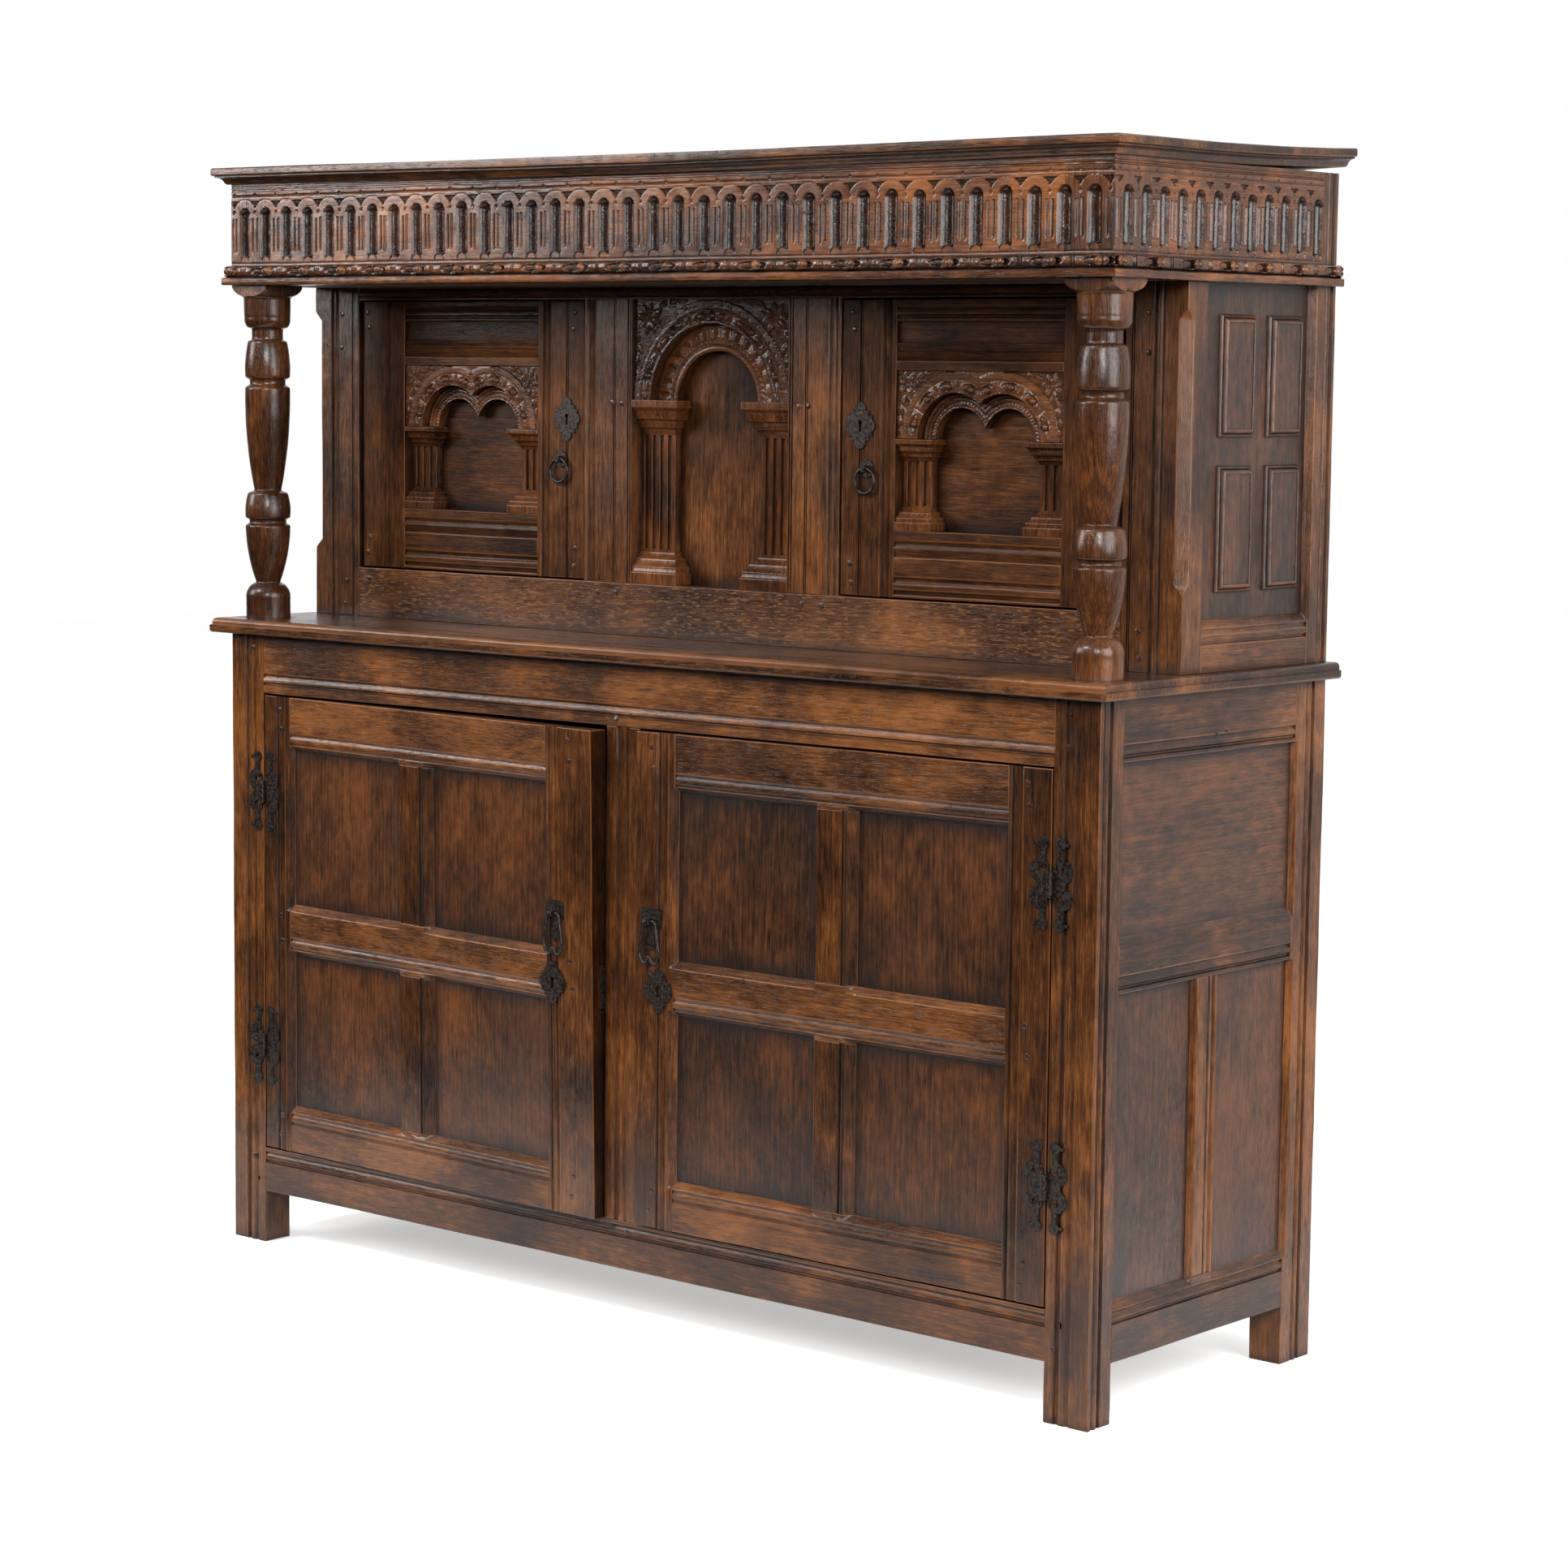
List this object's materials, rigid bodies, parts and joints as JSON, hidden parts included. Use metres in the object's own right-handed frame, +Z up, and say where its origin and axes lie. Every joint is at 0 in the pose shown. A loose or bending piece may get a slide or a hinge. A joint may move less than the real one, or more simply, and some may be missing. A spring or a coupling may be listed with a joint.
{
  "type": "court cupboard",
  "caption": "Joined oak court cupboard: panelled base with hinged doors, counter, set-back arcaded upper cupboard, turned corner posts and a fluted frieze.",
  "frame": {"origin": "on the floor under the middle of the cupboard", "axes": "+X to the viewer's right along the front, +Y from the front to the back, +Z up"},
  "size_m": [1.668, 0.5584, 1.632],
  "materials": {
    "oak_frame": "old waxed oak, dark brown, worn edges",
    "oak_panel": "old waxed oak boards, figured grain",
    "oak_carved": "old waxed carved and turned oak, darker in the hollows",
    "oak_inside": "dry unpolished oak inside and at the back",
    "iron": "hand-forged blackened iron"
  },
  "bodies": {
    "carcass": {"back_boards": "oak_inside", "back_rails": "oak_inside", "base_floor_boards": "oak_inside", "base_front_rails": "oak_frame", "base_front_stiles": "oak_frame", "base_muntins": "oak_frame", "base_rear_stiles": "oak_frame", "base_shelf_boards": "oak_inside", "base_side_panels": "oak_panel", "base_side_rails": "oak_frame", "bearers": "oak_inside", "carved_band": "oak_carved", "centre_arcade": "oak_carved", "centre_panel": "oak_carved", "counter_boards": "oak_frame", "frame_hinge_leaves": "iron", "frieze_rails": "oak_carved", "pivot_pins": "iron", "soffit_boards": "oak_inside", "top_boards": "oak_frame", "turned_posts": "oak_carved", "upper_front_rails": "oak_frame", "upper_front_stiles": "oak_frame", "upper_muntins": "oak_frame", "upper_rear_stiles": "oak_frame", "upper_side_panels": "oak_panel", "upper_side_rails": "oak_frame"},
    "lower_left_door": {"lower_left_door_hinge_leaves": "iron", "lower_left_door_lock_case": "iron", "lower_left_door_panels": "oak_panel", "lower_left_door_plates": "iron", "lower_left_door_rails": "oak_frame", "lower_left_door_uprights": "oak_frame"},
    "lower_left_door_drop": {"lower_left_door_drop": "iron"},
    "lower_left_door_bolt": {"lower_left_door_bolt": "iron"},
    "lower_right_door": {"lower_right_door_hinge_leaves": "iron", "lower_right_door_lock_case": "iron", "lower_right_door_panels": "oak_panel", "lower_right_door_plates": "iron", "lower_right_door_rails": "oak_frame", "lower_right_door_uprights": "oak_frame"},
    "lower_right_door_drop": {"lower_right_door_drop": "iron"},
    "lower_right_door_bolt": {"lower_right_door_bolt": "iron"},
    "upper_left_door": {"upper_left_door_arcade": "oak_carved", "upper_left_door_lock_case": "iron", "upper_left_door_panel": "oak_panel", "upper_left_door_plates": "iron", "upper_left_door_rails": "oak_frame", "upper_left_door_uprights": "oak_frame"},
    "upper_left_door_ring": {"upper_left_door_ring": "iron"},
    "upper_left_door_bolt": {"upper_left_door_bolt": "iron"},
    "upper_right_door": {"upper_right_door_arcade": "oak_carved", "upper_right_door_lock_case": "iron", "upper_right_door_panel": "oak_panel", "upper_right_door_plates": "iron", "upper_right_door_rails": "oak_frame", "upper_right_door_uprights": "oak_frame"},
    "upper_right_door_ring": {"upper_right_door_ring": "iron"},
    "upper_right_door_bolt": {"upper_right_door_bolt": "iron"}
  },
  "joints": [
    {"name": "lower_left_door_hinge", "type": "hinge", "parent": "carcass", "child": "lower_left_door", "pos_m": [-0.73875, -0.25184, 0.5025], "axis": [0, 0, -1], "range_deg": [-1.95, 148.05]},
    {"name": "lower_left_door_drop_pivot", "type": "hinge", "parent": "lower_left_door", "child": "lower_left_door_drop", "pos_m": [-0.10691, -0.27456, 0.578], "axis": [-0.9994, 0.034, 0], "range_deg": [-3, 110]},
    {"name": "lower_left_door_bolt_slide", "type": "slide", "parent": "lower_left_door", "child": "lower_left_door_bolt", "axis": [0.9994, -0.034, 0], "range_m": [0, 0.01]},
    {"name": "lower_right_door_hinge", "type": "hinge", "parent": "carcass", "child": "lower_right_door", "pos_m": [0.73875, -0.25184, 0.5025], "axis": [0, 0, 1], "range_deg": [-0.75, 149.25]},
    {"name": "lower_right_door_drop_pivot", "type": "hinge", "parent": "lower_right_door", "child": "lower_right_door_drop", "pos_m": [0.06457, -0.26187, 0.582], "axis": [-0.9999, -0.0131, 0], "range_deg": [-3, 110]},
    {"name": "lower_right_door_bolt_slide", "type": "slide", "parent": "lower_right_door", "child": "lower_right_door_bolt", "axis": [-0.9999, -0.0131, 0], "range_m": [0, 0.01]},
    {"name": "upper_left_door_pivot", "type": "hinge", "parent": "carcass", "child": "upper_left_door", "pos_m": [-0.6995, -0.05984, 1.2355], "axis": [0, 0, -1], "range_deg": [0, 90]},
    {"name": "upper_left_door_ring_pivot", "type": "hinge", "parent": "upper_left_door", "child": "upper_left_door_ring", "pos_m": [-0.2875, -0.07744, 1.208], "axis": [-1, 0, 0], "range_deg": [-3, 120]},
    {"name": "upper_left_door_bolt_slide", "type": "slide", "parent": "upper_left_door", "child": "upper_left_door_bolt", "axis": [1, 0, 0], "range_m": [0, 0.01]},
    {"name": "upper_right_door_pivot", "type": "hinge", "parent": "carcass", "child": "upper_right_door", "pos_m": [0.6995, -0.05984, 1.2355], "axis": [0, 0, 1], "range_deg": [0, 90]},
    {"name": "upper_right_door_ring_pivot", "type": "hinge", "parent": "upper_right_door", "child": "upper_right_door_ring", "pos_m": [0.2875, -0.07744, 1.208], "axis": [-1, 0, 0], "range_deg": [-3, 120]},
    {"name": "upper_right_door_bolt_slide", "type": "slide", "parent": "upper_right_door", "child": "upper_right_door_bolt", "axis": [-1, 0, 0], "range_m": [0, 0.01]}
  ]
}
